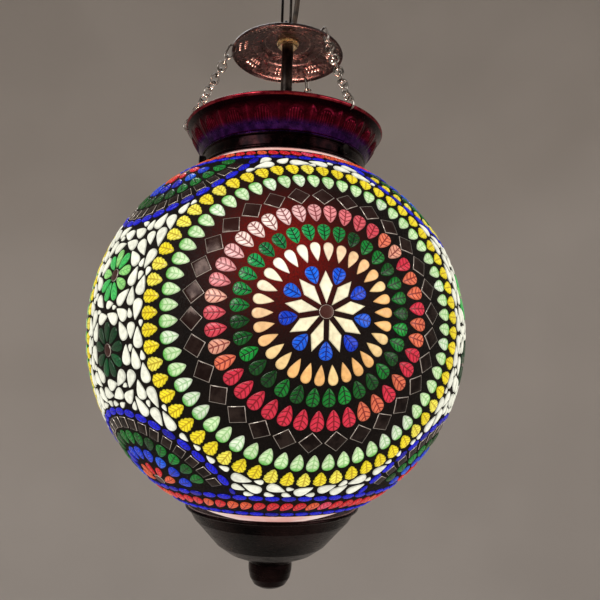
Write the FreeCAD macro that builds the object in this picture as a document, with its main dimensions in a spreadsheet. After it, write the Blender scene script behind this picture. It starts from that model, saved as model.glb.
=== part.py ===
import FreeCAD, Part
import itertools
import math
import os
import random

import Sketcher
from FreeCAD import Placement, Rotation, Vector

# A hanging mosaic glass lantern: ceiling fixing, three-link chain with its supply cable, smoke bell on a
# threaded stem with the lampholder and lamp, and a mosaic globe that hangs from the bell by three chains.
# Millimetres, +Z up. The origin is the centre of the crossbar's top face, which lies on the ceiling.
# Heights of the lantern's own pieces are counted from the globe's centre.

doc = FreeCAD.newDocument("mosaic_lantern")
sheet = doc.addObject("Spreadsheet::Sheet", "Dimensions")

DIMENSIONS = {
    # ceiling fixing, heights from the ceiling
    "crossbar_length": 74.0,
    "crossbar_width": 18.0,
    "crossbar_thickness": 2.5,
    "ceiling_screw_spacing": 50.0,
    "ceiling_screw_hole": 2.25,
    "pipe_radius": 5.0,
    "pipe_bore": 4.0,
    "pipe_hole": 5.05,
    "nipple_top": -0.4,
    "nipple_bottom": -20.0,
    "nut_flats": 15.0,
    "nut_height": 3.0,
    "canopy_radius": 50.0,
    "canopy_rim": -0.4,
    "canopy_floor": -25.0,
    "canopy_hole": 13.3,
    "canopy_ring_radius": 18.0,
    "collar_loop_radius": 13.0,
    "collar_loop_top": -14.0,
    "collar_loop_bottom": -28.6,
    # hanging rings and chain
    "load_line": -2.0,
    "ring_radius": 3.9,
    "ring_wire": 1.35,
    "ceiling_ring_height": -32.0,
    "link_half_width": 3.7,
    "link_wire": 1.15,
    "link_length": 33.7,
    "link_gap": 0.15,
    # supply cable
    "cable_radius": 2.3,
    "cable_hole": 2.6,
    # lantern, heights from the globe's centre
    "globe_centre": -402.85,
    "hub_radius": 6.8,
    "hub_bottom": 262.1,
    "hub_top": 269.5,
    "hub_thread_depth": 4.4,
    "lantern_ring_height": 272.0,
    "cable_hole_offset": 3.9,
    "stem_top": 266.4,
    "stem_bottom": 172.0,
    "bell_radius": 48.8,
    "bell_rim": 244.0,
    "bell_crown": 258.4,
    "bell_step": 24.0,
    "sheet_thickness": 1.0,
    "bell_washer_radius": 9.6,
    "bell_hook_circle": 45.2,
    "bell_hook_hole": 1.9,
    "wire_radius": 0.6,
    # lampholder and lamp
    "holder_radius": 19.5,
    "holder_bore": 17.8,
    "holder_top": 178.0,
    "holder_joint": 160.0,
    "holder_mouth": 114.0,
    "insulator_height": 8.0,
    "thread_shell_radius": 14.4,
    "thread_shell_bore": 13.5,
    "lamp_cap_radius": 13.3,
    "lamp_cap_top": 140.0,
    "lamp_cap_bottom": 117.0,
    "lamp_radius": 30.0,
    "lamp_centre": 68.0,
    "lamp_glass": 0.8,
    "filament_height": 72.0,
    # globe and mosaic
    "glass_radius": 148.0,
    "glass_thickness": 3.0,
    "neck_radius": 60.0,
    "neck_top": 150.0,
    "grout_thickness": 0.5,
    "grout_top_angle": 62.6,
    "grout_bottom_angle": 61.6,
    "tile_seat": 148.8,
    "tile_thickness": 1.6,
    # collar
    "lip_radius": 82.4,
    "lip_height": 171.0,
    "lip_bead": 1.3,
    "collar_sheet": 1.2,
    "throat_radius": 68.3,
    "throat_height": 146.5,
    "collar_foot_radius": 67.4,
    "collar_foot": 135.0,
    "screw_height": 141.4,
    "screw_radius": 2.0,
    "screw_hole": 2.1,
    "screw_head": 3.6,
    # side chains
    "chain_bearing": -53.0,
    "screw_bearing": -48.0,
    "hook_top_radius": 47.2,
    "hook_top_height": 249.0,
    "hook_drop": 2.6,
    "collar_hook_hole": 1.6,
    "side_wire": 0.8,
    "top_hook_half_width": 2.9,
    "top_hook_length": 13.4,
    "side_link_half_width": 3.5,
    "side_link_length": 8.6,
    "bottom_hook_half_width": 3.7,
    "bottom_hook_length": 10.4,
    # bottom cup and finial
    "cup_radius": 67.4,
    "cup_lip": -136.6,
    "cup_bead": 1.5,
    "cup_floor": -179.7,
    "cup_hole": 3.2,
    "finial_radius": 17.2,
    "finial_tip": -201.0,
    "stud_radius": 3.0,
    "stud_top": -136.0,
    "stud_bottom": -196.0,
    "seat_washer_radius": 14.0,
}

for row, (alias, value) in enumerate(DIMENSIONS.items(), start=1):
    sheet.set(f"A{row}", alias)
    sheet.set(f"B{row}", str(value))
    sheet.setAlias(f"B{row}", alias)
doc.recompute()

GLOBE = "globe_centre"
SIDE_LINKS = 10
pieces = []


def size(alias):
    """The value of a driving dimension."""
    return float(sheet.get(alias))


def cell(*terms):
    """An expression that adds aliases and numbers, such as cell("hub_top", -2)."""
    return " + ".join(f"Dimensions.{term}" if isinstance(term, str) else f"({term})" for term in terms)


def total(spec):
    """The value of an alias, of a number, or of a tuple of them added together."""
    terms = spec if isinstance(spec, tuple) else (spec,)
    return sum(size(term) if isinstance(term, str) else term for term in terms)


def bind(item, prop, *terms):
    item.setExpression(prop, cell(*terms))


def keep(item, label):
    """Marks an object as a piece of the lantern under its own label."""
    item.Label = label
    pieces.append(item)
    return item


def origin_plane(body, role):
    return next(plane for plane in body.Origin.OriginFeatures if plane.Role == role)


def new_sketch(body, name, role):
    sketch = body.newObject("Sketcher::SketchObject", name)
    sketch.AttachmentSupport = (origin_plane(body, role), [""])
    sketch.MapMode = "FlatFace"
    return sketch


def pin_point(sketch, geometry, end, spec_x, spec_y):
    """Ties one end of a sketch line to coordinates that come from the sheet."""
    for kind, spec in (("DistanceX", spec_x), ("DistanceY", spec_y)):
        index = sketch.addConstraint(Sketcher.Constraint(kind, -1, 1, geometry, end, total(spec)))
        terms = spec if isinstance(spec, tuple) else (spec,)
        if any(isinstance(term, str) for term in terms):
            sketch.setExpression(f"Constraints[{index}]", cell(*terms))


def turned(label, outline, base=GLOBE, beads=()):
    """A PartDesign body turned about Z. The outline is a closed list of (radius, height) specs, and each
    bead (radius, height, wire) adds a rolled edge."""
    body = doc.addObject("PartDesign::Body", label + "_body")
    sketch = new_sketch(body, label + "_outline", "XZ_Plane")
    corners = [Vector(total(radius), total(height), 0) for radius, height in outline]
    count = len(corners)
    for number in range(count):
        sketch.addGeometry(Part.LineSegment(corners[number], corners[(number + 1) % count]), False)
    for number in range(count):
        sketch.addConstraint(Sketcher.Constraint("Coincident", number, 2, (number + 1) % count, 1))
    for number, (radius, height) in enumerate(outline):
        pin_point(sketch, number, 1, radius, height)
    turn = body.newObject("PartDesign::Revolution", label + "_turn")
    turn.Profile = sketch
    turn.ReferenceAxis = (sketch, ["V_Axis"])
    turn.Angle = 360.0
    for number, (radius, height, wire) in enumerate(beads):
        bead = new_sketch(body, f"{label}_bead_{number}", "XZ_Plane")
        centre = Vector(total(radius), total(height), 0)
        bead.addGeometry(Part.Circle(centre, Vector(0, 0, 1), total(wire)), False)
        pin_point(bead, 0, 3, radius, height)
        index = bead.addConstraint(Sketcher.Constraint("Radius", 0, total(wire)))
        bead.setExpression(f"Constraints[{index}]", cell(wire))
        roll = body.newObject("PartDesign::Revolution", f"{label}_roll_{number}")
        roll.Profile = bead
        roll.ReferenceAxis = (bead, ["V_Axis"])
        roll.Angle = 360.0
    if base:
        bind(body, "Placement.Base.z", base)
    return body


def wire_link(label, half_width, length, wire):
    """A closed wire link in the XZ plane, piped along two straights and two half circles. Its top wire's
    centre is at the body's origin and its bottom wire's centre is `length` below."""
    body = doc.addObject("PartDesign::Body", label + "_body")
    spine = new_sketch(body, label + "_spine", "XZ_Plane")
    bend, drop = size(half_width), size(length)
    upper, lower = Vector(0, -bend, 0), Vector(0, bend - drop, 0)
    normal = Vector(0, 0, 1)
    spine.addGeometry(Part.ArcOfCircle(Part.Circle(upper, normal, bend), 0, math.pi), False)
    spine.addGeometry(Part.LineSegment(upper - Vector(bend, 0, 0), lower - Vector(bend, 0, 0)), False)
    spine.addGeometry(Part.ArcOfCircle(Part.Circle(lower, normal, bend), math.pi, 2 * math.pi), False)
    spine.addGeometry(Part.LineSegment(lower + Vector(bend, 0, 0), upper + Vector(bend, 0, 0)), False)
    for first, first_end, second, second_end in ((0, 2, 1, 1), (1, 2, 2, 1), (2, 2, 3, 1), (3, 2, 0, 1)):
        spine.addConstraint(Sketcher.Constraint("Tangent", first, first_end, second, second_end))
    radius = spine.addConstraint(Sketcher.Constraint("Radius", 0, bend))
    spine.setExpression(f"Constraints[{radius}]", cell(half_width))
    spine.addConstraint(Sketcher.Constraint("PointOnObject", 0, 3, -2))
    spine.addConstraint(Sketcher.Constraint("Vertical", 1))
    high = spine.addConstraint(Sketcher.Constraint("DistanceY", 0, 3, -1, 1, bend))
    spine.setExpression(f"Constraints[{high}]", cell(half_width))
    low = spine.addConstraint(Sketcher.Constraint("DistanceY", 2, 3, -1, 1, drop - bend))
    spine.setExpression(f"Constraints[{low}]", f"Dimensions.{length} - Dimensions.{half_width}")
    section = new_sketch(body, label + "_section", "XY_Plane")
    section.AttachmentOffset = Placement(Vector(0, 0, -drop / 2), Rotation())
    section.addGeometry(Part.Circle(Vector(bend, 0, 0), normal, size(wire)), False)
    pin_point(section, 0, 3, half_width, 0.0)
    thick = section.addConstraint(Sketcher.Constraint("Radius", 0, size(wire)))
    section.setExpression(f"Constraints[{thick}]", cell(wire))
    pipe = body.newObject("PartDesign::AdditivePipe", label + "_pipe")
    pipe.Profile = section
    pipe.Spine = (spine, ["Edge1", "Edge2", "Edge3", "Edge4"])
    return body


def cylinder(name, radius, low, high, base=GLOBE, offset=0.0):
    """A Part cylinder about Z from one height to another; radius, low and high are specs."""
    made = doc.addObject("Part::Cylinder", name)
    radius, low, high = (spec if isinstance(spec, tuple) else (spec,) for spec in (radius, low, high))
    bind(made, "Radius", *radius)
    made.setExpression("Height", f"{cell(*high)} - ({cell(*low)})")
    bind(made, "Placement.Base.z", *((base,) if base else ()), *low)
    if offset:
        bind(made, "Placement.Base.x", *(offset if isinstance(offset, tuple) else (offset,)))
    return made


def cut(label, base, *tools):
    made = doc.addObject("Part::Cut", label)
    made.Base = base
    if len(tools) == 1:
        made.Tool = tools[0]
    else:
        joined = doc.addObject("Part::MultiFuse", label + "_holes")
        joined.Shapes = list(tools)
        made.Tool = joined
    return made


def tube(label, outer, inner, low, high, base=GLOBE):
    return keep(cut(label, cylinder(label + "_outside", outer, low, high, base),
                    cylinder(label + "_inside", inner, low, high, base)), label)


def hexagon_nut(label, hole, low, base=GLOBE):
    """A hexagon nut of nut_flats across flats, standing nut_height above `low`."""
    blank = doc.addObject("Part::Prism", label + "_blank")
    blank.Polygon = 6
    blank.setExpression("Circumradius", "Dimensions.nut_flats / sqrt(3)")
    bind(blank, "Height", "nut_height")
    low = low if isinstance(low, tuple) else (low,)
    bind(blank, "Placement.Base.z", *((base,) if base else ()), *low)
    hole_tool = cylinder(label + "_hole", hole, low, low + ("nut_height",), base)
    return keep(cut(label, blank, hole_tool), label)


def shift(item, prop, value):
    """Moves an object along one axis by a bound dimension."""
    bind(item, f"Placement.Base.{prop}", *(value if isinstance(value, tuple) else (value,)))


def ring(name, height, base):
    """A hanging ring in the YZ plane on the load line."""
    made = doc.addObject("Part::Torus", name)
    bind(made, "Radius1", "ring_radius")
    bind(made, "Radius2", "ring_wire")
    made.Placement = Placement(Vector(), Rotation(Vector(0, 1, 0), 90))
    shift(made, "x", "load_line")
    shift(made, "z", ((base,) if base else ()) + (height,))
    return made


def around(count, bearing):
    return [bearing + 360.0 * number / count for number in range(count)]


def compass(bearing):
    """The horizontal unit vector at a bearing counted from +X towards +Y."""
    return Vector(math.cos(math.radians(bearing)), math.sin(math.radians(bearing)), 0)


def build_ceiling_fixing():
    bar = doc.addObject("Part::Box", "crossbar_blank")
    bind(bar, "Length", "crossbar_length")
    bind(bar, "Width", "crossbar_width")
    bind(bar, "Height", "crossbar_thickness")
    bar.setExpression("Placement.Base.x", "-Dimensions.crossbar_length / 2")
    bar.setExpression("Placement.Base.y", "-Dimensions.crossbar_width / 2")
    bar.setExpression("Placement.Base.z", "-Dimensions.crossbar_thickness")
    holes = [cylinder("crossbar_pipe_hole", "pipe_hole", (-5.0,), (5.0,), None)]
    for side in (-1, 1):
        hole = cylinder(f"crossbar_screw_hole_{side + 2}", "ceiling_screw_hole", (-5.0,), (5.0,), None)
        hole.setExpression("Placement.Base.x", f"{side} * Dimensions.ceiling_screw_spacing / 2")
        holes.append(hole)
    keep(cut("crossbar", bar, *holes), "crossbar")
    tube("threaded_nipple", "pipe_radius", "pipe_bore", "nipple_bottom", "nipple_top", None)
    hexagon_nut("nipple_nut", "pipe_hole", (-5.6,), None)
    floor, skin = "canopy_floor", "sheet_thickness"
    canopy = turned("ceiling_canopy", [
        ("canopy_radius", "canopy_rim"), ("canopy_radius", ("canopy_rim", -3.0)),
        (("canopy_radius", -1.6), ("canopy_rim", -7.0)), (("canopy_radius", -9.0), ("canopy_rim", -16.5)),
        (("canopy_radius", -21.0), (floor, 1.6)), (("canopy_radius", -25.0), floor), ("canopy_hole", floor),
        ("canopy_hole", (floor, skin)), (("canopy_radius", -25.3), (floor, skin)),
        (("canopy_radius", -21.6), (floor, 2.5)), (("canopy_radius", -9.9), ("canopy_rim", -15.9)),
        (("canopy_radius", -2.6), ("canopy_rim", -6.7)), (("canopy_radius", -1.0), ("canopy_rim", -2.9)),
        (("canopy_radius", -1.0), "canopy_rim")], base=None)
    keep(canopy, "ceiling_canopy")
    tube("canopy_ring", "canopy_ring_radius", ("canopy_hole", -0.05),
         (floor, -3.1), (floor, -0.1), None)
    block = cylinder("ceiling_loop_block", "collar_loop_radius",
                     "collar_loop_bottom", "collar_loop_top", None)
    solid = doc.addObject("Part::Fuse", "ceiling_loop_blank")
    solid.Base = block
    solid.Tool = ring("ceiling_loop_ring", "ceiling_ring_height", None)
    keep(cut("ceiling_loop", solid,
             cylinder("ceiling_loop_thread", "pipe_hole", ("nipple_bottom", -0.5), "collar_loop_top", None),
             cylinder("ceiling_loop_wire_way", "cable_hole", (-40.0,), (-10.0,), None, (8.3,))),
         "ceiling_loop")


def chain_levels():
    """Heights of the chain links' top wires, from the top link down, on the world's Z."""
    top = total(("ceiling_ring_height",)) - size("ring_radius") + size("ring_wire")
    top += size("link_wire") + size("link_gap")
    step = size("link_length") - 2 * size("link_wire") - size("link_gap") / 2
    return [top - step * number for number in range(3)]


def build_chain():
    for number, level in enumerate(chain_levels(), start=1):
        link = keep(wire_link(f"chain_link_{number}", "link_half_width", "link_length", "link_wire"),
                    f"chain_link_{number}")
        turn = 90 if number == 2 else 0
        link.Placement = Placement(Vector(size("load_line"), 0, level), Rotation(Vector(0, 0, 1), turn))


def cable_route():
    """The cable's route, from inside the canopy down past the chain to the lantern's hub."""
    hub = size(GLOBE) + size("hub_top")
    return [
        Vector(8.3, 0.0, -12.0),
        Vector(8.3, 0.0, -33.0),
        Vector(9.8, 1.3, -62.0),
        Vector(7.9, 1.6, -96.0),
        Vector(6.1, 1.9, -121.0),
        Vector(size("cable_hole_offset") - 0.1, -0.08, hub - 1.2),
    ]


def rounded_path(points):
    """Straight runs joined by tangent arcs, each as large as 0.45 of its shorter run allows. Prints each
    arc's radius and returns the wire and its length."""
    edges, start, length = [], points[0], 0.0
    for before, corner, after in zip(points, points[1:], points[2:]):
        back, ahead = (before - corner), (after - corner)
        reach = 0.45 * min(back.Length, ahead.Length)
        back.normalize()
        ahead.normalize()
        turn = math.pi - back.getAngle(ahead)
        radius = reach / math.tan(turn / 2)
        inward = (back + ahead).normalize()
        middle = corner + inward * (radius * (1 / math.cos(turn / 2) - 1))
        enter, leave = corner + back * reach, corner + ahead * reach
        edges += [Part.LineSegment(start, enter).toShape(), Part.Arc(enter, middle, leave).toShape()]
        length += (enter - start).Length + radius * turn
        start = leave
        print(f"cable bend radius {radius:.1f} mm, turn {math.degrees(turn):.1f} degrees")
    edges.append(Part.LineSegment(start, points[-1]).toShape())
    length += (points[-1] - start).Length
    return Part.Wire(edges), length


def build_cable():
    path, length = rounded_path(cable_route())
    radius = size("cable_radius")
    start = path.Edges[0]
    direction = start.tangentAt(start.FirstParameter)
    disc = Part.Wire(Part.makeCircle(radius, start.firstVertex().Point, direction))
    cable = doc.addObject("Part::Feature", "supply_cable")
    cable.Shape = path.makePipeShell([disc], True, True)
    expected = math.pi * radius**2 * length
    print(f"cable length {length:.1f} mm, volume {cable.Shape.Volume:.0f} of {expected:.0f} mm3")
    keep(cable, "supply_cable")


def build_stem():
    """The hanging hub, the stem with its nuts, the smoke bell and the two conductors inside the stem."""
    hub = doc.addObject("Part::Fuse", "lantern_loop_blank")
    hub.Base = cylinder("lantern_loop_hub", "hub_radius", "hub_bottom", "hub_top")
    hub.Tool = ring("lantern_loop_ring", "lantern_ring_height", GLOBE)
    keep(cut("lantern_loop", hub,
             cylinder("lantern_loop_thread", "pipe_hole", "hub_bottom", ("hub_bottom", "hub_thread_depth")),
             cylinder("lantern_loop_wire_way", "cable_hole", "hub_bottom", ("hub_top", 6.0), GLOBE,
                      "cable_hole_offset")), "lantern_loop")
    tube("stem_tube", "pipe_radius", "pipe_bore", "stem_bottom", "stem_top")
    hexagon_nut("stem_top_nut", "pipe_hole", ("bell_crown", 0.5))
    crown, rim, skin = "bell_crown", "bell_rim", "sheet_thickness"
    bell = turned("smoke_bell", [
        ("pipe_hole", crown), ("bell_step", (crown, -1.6)), (("bell_step", 0.8), (crown, -3.2)),
        (("bell_radius", -15.5), (crown, -5.6)), (("bell_radius", -6.8), (crown, -8.8)),
        (("bell_radius", -1.6), (rim, 3.2)), ("bell_radius", rim), (("bell_radius", -0.9), (rim, -0.3)),
        (("bell_radius", -2.4), (rim, 2.4)), (("bell_radius", -7.2), (crown, -9.8)),
        (("bell_radius", -15.7), (crown, -6.7)), (("bell_step", -0.2), (crown, -4.2)),
        (("bell_step", -0.9), (crown, -2.7)), ("pipe_hole", (crown, -1.0))])
    holes = []
    for number, bearing in enumerate(around(3, size("chain_bearing")), start=1):
        spot = compass(bearing) * size("bell_hook_circle")
        hole = cylinder(f"smoke_bell_hook_hole_{number}", "bell_hook_hole", ("bell_rim", -4.0), "bell_crown")
        hole.Placement.Base = Vector(spot.x, spot.y, hole.Placement.Base.z)
        holes.append(hole)
    keep(cut("smoke_bell", bell, *holes), "smoke_bell")
    tube("bell_washer", "bell_washer_radius", "pipe_hole", ("bell_crown", -2.8), ("bell_crown", -1.6))
    hexagon_nut("stem_lower_nut", "pipe_hole", ("bell_crown", -5.9))
    wires = []
    for side in (-1, 1):
        wire = cylinder(f"conductor_{side + 2}", "wire_radius", ("holder_joint", 0.2), ("hub_top", -4.4))
        wire.Placement.Base.x = side * 1.6
        wires.append(wire)
    pair = doc.addObject("Part::Compound", "lead_wires")
    pair.Links = wires
    keep(pair, "lead_wires")


def build_lampholder():
    top, joint, mouth, skin = "holder_top", "holder_joint", "holder_mouth", "sheet_thickness"
    cap = turned("lampholder_cap", [
        ("pipe_hole", top), (("pipe_hole", 4.0), top), (("pipe_hole", 5.2), (top, -4.0)),
        (("holder_radius", -2.0), (joint, 6.0)), ("holder_radius", (joint, 2.0)), ("holder_radius", joint),
        (("holder_radius", -1.5), joint), (("holder_radius", -1.5), (joint, 1.6)),
        (("holder_radius", -3.5), (joint, 5.0)), (("pipe_hole", 3.6), (top, -5.0)),
        ("pipe_hole", (top, -5.0))])
    keep(cap, "lampholder_cap")
    tube("lampholder_sleeve", "holder_radius", "holder_bore", mouth, (joint, -0.1))
    keep(cut("holder_insulator",
             cylinder("holder_insulator_block", ("holder_bore", -0.1), (joint, "insulator_height", -16.0),
                      (joint, -0.1)),
             cylinder("holder_insulator_bore", "wire_radius", mouth, (joint, 1.0), GLOBE, 8.0)),
         "holder_insulator")
    tube("thread_shell", "thread_shell_radius", "thread_shell_bore", (mouth, 2.0), (joint, -8.2))
    contact = cylinder("centre_contact_pad", (3.0,), (joint, -11.6), (joint, -8.1))
    keep(contact, "centre_contact")


def build_lamp():
    """The lamp: threaded cap, black insulator, tip contact, glass envelope, glass mount and filament."""
    top, bottom, cap = "lamp_cap_top", "lamp_cap_bottom", "lamp_cap_radius"
    keep(turned("lamp_cap", [
        (cap, (bottom, -1.0)), (cap, (top, -3.0)), ((cap, -1.6), top), ((cap, -2.4), (top, -0.6)),
        ((cap, -0.8), (top, -3.4)), ((cap, -0.8), (bottom, -1.0))]), "lamp_cap")
    keep(turned("lamp_insulator", [
        (0.0, (top, -0.7)), ((cap, -2.6), (top, -0.7)), ((cap, -2.9), (top, 0.2)), (5.2, (top, 3.6)),
        (0.0, (top, 3.6))]), "lamp_insulator")
    keep(turned("lamp_tip_contact", [
        (0.0, (top, 3.7)), (4.6, (top, 3.7)), (4.0, (top, 5.2)), (1.6, (top, 6.0)), (0.0, (top, 6.0))]),
        "lamp_tip_contact")
    outer = doc.addObject("Part::Sphere", "lamp_bulb_outside")
    inner = doc.addObject("Part::Sphere", "lamp_bulb_inside")
    bind(outer, "Radius", "lamp_radius")
    inner.setExpression("Radius", "Dimensions.lamp_radius - Dimensions.lamp_glass")
    for ball in (outer, inner):
        shift(ball, "z", (GLOBE, "lamp_centre"))
    shoulder_low, shoulder_high = ("lamp_centre", 21.5), ("lamp_cap_bottom", 2.0)
    shoulder = doc.addObject("Part::Cone", "lamp_shoulder_outside")
    hollow = doc.addObject("Part::Cone", "lamp_shoulder_inside")
    for cone, skin in ((shoulder, 0.0), (hollow, -0.8)):
        cone.Radius1 = 20.92 + skin
        cone.setExpression("Radius2", f"Dimensions.lamp_cap_radius - 1.9 + ({skin})")
        cone.setExpression("Height", f"{cell(*shoulder_high)} - ({cell(*shoulder_low)})")
        shift(cone, "z", (GLOBE, *shoulder_low))
    solid = doc.addObject("Part::MultiFuse", "lamp_envelope_blank")
    solid.Shapes = [outer, shoulder]
    inside = doc.addObject("Part::MultiFuse", "lamp_envelope_hollow")
    inside.Shapes = [inner, hollow]
    envelope = doc.addObject("Part::Cut", "lamp_envelope")
    envelope.Base = solid
    envelope.Tool = inside
    keep(envelope, "lamp_envelope")
    low, high = ("filament_height", 4.0), ("lamp_cap_bottom", 1.5)
    keep(turned("lamp_mount", [
        (0.0, high), (8.0, high), (8.0, ("lamp_cap_bottom", 0.5)), (3.4, ("lamp_cap_bottom", -9.0)),
        (2.0, ("lamp_cap_bottom", -14.0)), (1.4, low), (0.0, low)]), "lamp_mount")
    filament = doc.addObject("Part::Torus", "lamp_filament_coil")
    filament.Radius1 = 11.0
    filament.Radius2 = 0.5
    filament.Angle3 = 260.0
    filament.Placement = Placement(Vector(), Rotation(Vector(0, 0, 1), -50))
    shift(filament, "z", (GLOBE, "filament_height"))
    keep(filament, "lamp_filament")


def build_globe():
    """The glass shell with its neck, and the bed of grout that the tiles are pressed into."""
    radius, skin = "glass_radius", "glass_thickness"

    def zone(name, sphere_radius, low_angle, high_angle):
        ball = doc.addObject("Part::Sphere", name)
        ball.setExpression("Radius", sphere_radius)
        ball.setExpression("Angle1", low_angle)
        ball.setExpression("Angle2", high_angle)
        shift(ball, "z", (GLOBE,))
        return ball

    inside = f"Dimensions.{radius} - Dimensions.{skin}"
    shell = doc.addObject("Part::MultiFuse", "globe_glass_blank")
    shell.Shapes = [
        zone("globe_glass_outside", f"Dimensions.{radius}", "-90", "90"),
        cylinder("globe_glass_neck", "neck_radius", (130.0,), "neck_top")]
    keep(cut("globe_glass", shell,
             zone("globe_glass_inside", inside, "-90", "90"),
             cylinder("globe_glass_mouth", ("neck_radius", -3.0), (100.0,), ("neck_top", 10.0)),
             cylinder("globe_glass_foot_hole", ("stud_radius", 0.6), (-160.0,), (-130.0,))), "globe_glass")
    high, low = "Dimensions.grout_top_angle", "-Dimensions.grout_bottom_angle"
    bed = doc.addObject("Part::Cut", "grout_bed")
    bed.Base = zone("grout_bed_outside", f"Dimensions.{radius} + Dimensions.grout_thickness", low, high)
    bed.Tool = zone("grout_bed_inside", f"Dimensions.{radius}", "-90", "90")
    keep(bed, "grout_bed")


def hook_line():
    """Where each side chain starts and ends in its own radial plane, as (radius, height) from the globe's
    centre, and the unit vector down the chain. The lower hook's wire passes hook_drop under the lip bead."""
    start = Vector(size("hook_top_radius"), 0, size("hook_top_height"))
    bead = Vector(size("lip_radius"), 0, size("lip_height"))
    down = (bead - start).normalize()
    for _ in range(8):
        end = bead + down * size("hook_drop")
        down = (end - start).normalize()
    return start, end, down


def collar_hook_hole(number, bearing):
    """A hole square to the flared sheet just under the lip, where the lower hook passes through."""
    lip = Vector(size("lip_radius"), 0, size("lip_height"))
    foot = Vector(79.2, 0, 165.0)
    along = (foot - lip).normalize()
    across = Vector(-along.z, 0, along.x)
    centre = lip + along * 2.85
    tool = doc.addObject("Part::Cylinder", f"collar_hook_hole_{number}")
    bind(tool, "Radius", "collar_hook_hole")
    tool.Height = 8.0
    base = centre - across * 4.0
    swing = Rotation(Vector(0, 0, 1), bearing)
    tool.Placement = Placement(swing.multVec(base) + Vector(0, 0, size(GLOBE)),
                               swing * Rotation(Vector(0, 0, 1), across))
    return tool


def build_collar():
    """The flared collar that carries the globe's neck, with its hook holes and three neck screws."""
    lip, top, skin = "lip_radius", "lip_height", "collar_sheet"
    throat, waist, foot = "throat_radius", "throat_height", "collar_foot"
    blank = turned("collar", [
        ((lip, 0.5), top), ((lip, -2.6), (top, -6.0)), ((lip, -5.2), (top, -11.0)),
        ((lip, -8.4), (top, -16.2)), ((throat, 2.6), (waist, 3.4)), (throat, (waist, 1.6)), (throat, waist),
        ("collar_foot_radius", (waist, -1.6)), ("collar_foot_radius", foot),
        (("collar_foot_radius", -1.2), foot), (("collar_foot_radius", -1.2), (waist, -1.0)),
        ((throat, -1.2), (waist, 0.4)), ((throat, -1.2), (waist, 2.2)), ((throat, 1.9), (waist, 4.5)),
        ((lip, -9.3), (top, -15.3)), ((lip, -6.2), (top, -10.2)), ((lip, -3.7), (top, -5.4)),
        ((lip, -0.7), top)], beads=[(lip, top, "lip_bead")])
    tools, screws = [], []
    for number, bearing in enumerate(around(3, size("chain_bearing")), start=1):
        tools.append(collar_hook_hole(number, bearing))
    for number, bearing in enumerate(around(3, size("screw_bearing")), start=1):
        outward = compass(bearing)
        level = Vector(0, 0, size(GLOBE) + size("screw_height"))
        bore = doc.addObject("Part::Cylinder", f"collar_screw_hole_{number}")
        bind(bore, "Radius", "screw_hole")
        bore.Height = 8.0
        bore.Placement = Placement(outward * 62.0 + level, Rotation(Vector(0, 0, 1), outward))
        tools.append(bore)
        shank = doc.addObject("Part::Cylinder", f"neck_screw_shank_{number}")
        bind(shank, "Radius", "screw_radius")
        shank.Height = 9.0
        shank.Placement = Placement(outward * 60.2 + level, Rotation(Vector(0, 0, 1), outward))
        head = doc.addObject("Part::Cylinder", f"neck_screw_head_{number}")
        bind(head, "Radius", "screw_head")
        head.Height = 3.4
        head.Placement = Placement(outward * 68.6 + level, Rotation(Vector(0, 0, 1), outward))
        screw = doc.addObject("Part::Fuse", f"neck_screw_{number}")
        screw.Base = shank
        screw.Tool = head
        screws.append(screw)
    keep(cut("collar", blank, *tools), "collar")
    group = doc.addObject("Part::Compound", "neck_screws")
    group.Links = screws
    keep(group, "neck_screws")


def side_chain_places():
    """Each wire of a side chain in the chain's own radial plane: (distance down the chain, roll about it).
    The rolls bring the last hook back into the radial plane, and the overlaps share out evenly."""
    start, end, _ = hook_line()
    lengths = [size("top_hook_length")] + [size("side_link_length")] * SIDE_LINKS
    lengths.append(size("bottom_hook_length"))
    overlap = (sum(lengths) - (end - start).Length) / (SIDE_LINKS + 1)
    roll = 180.0 * (SIDE_LINKS // 2 + 1) / (SIDE_LINKS + 1)
    places, reach = [], 0.0
    for number, length in enumerate(lengths):
        places.append((reach, roll * number))
        reach += length - overlap
    return places


def build_side_chains():
    """Three chains from the smoke bell's rim to the collar's lip, each with its two hooks."""
    patterns = [
        wire_link("top_hook", "top_hook_half_width", "top_hook_length", "side_wire"),
        wire_link("side_link", "side_link_half_width", "side_link_length", "side_wire"),
        wire_link("bottom_hook", "bottom_hook_half_width", "bottom_hook_length", "side_wire")]
    doc.recompute()
    start, _, down = hook_line()
    lean = Rotation(Vector(0, 0, -1), down)
    places = side_chain_places()
    for number, bearing in enumerate(around(3, size("chain_bearing")), start=1):
        swing = Rotation(Vector(0, 0, 1), bearing)
        rise = Vector(0, 0, size(GLOBE))

        def placed(pattern, place):
            reach, roll = place
            turn = swing * lean * Rotation(Vector(0, 0, 1), roll)
            shape = pattern.Shape.copy()
            shape.Placement = Placement(swing.multVec(start + down * reach) + rise, turn)
            return shape

        groups = {
            f"top_hook_{number}": [placed(patterns[0], places[0])],
            f"side_chain_{number}": [placed(patterns[1], place) for place in places[1:-1]],
            f"bottom_hook_{number}": [placed(patterns[2], places[-1])]}
        for label, shapes in groups.items():
            item = doc.addObject("Part::Feature", label)
            item.Shape = Part.makeCompound(shapes) if len(shapes) > 1 else shapes[0]
            keep(item, label)


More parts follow.
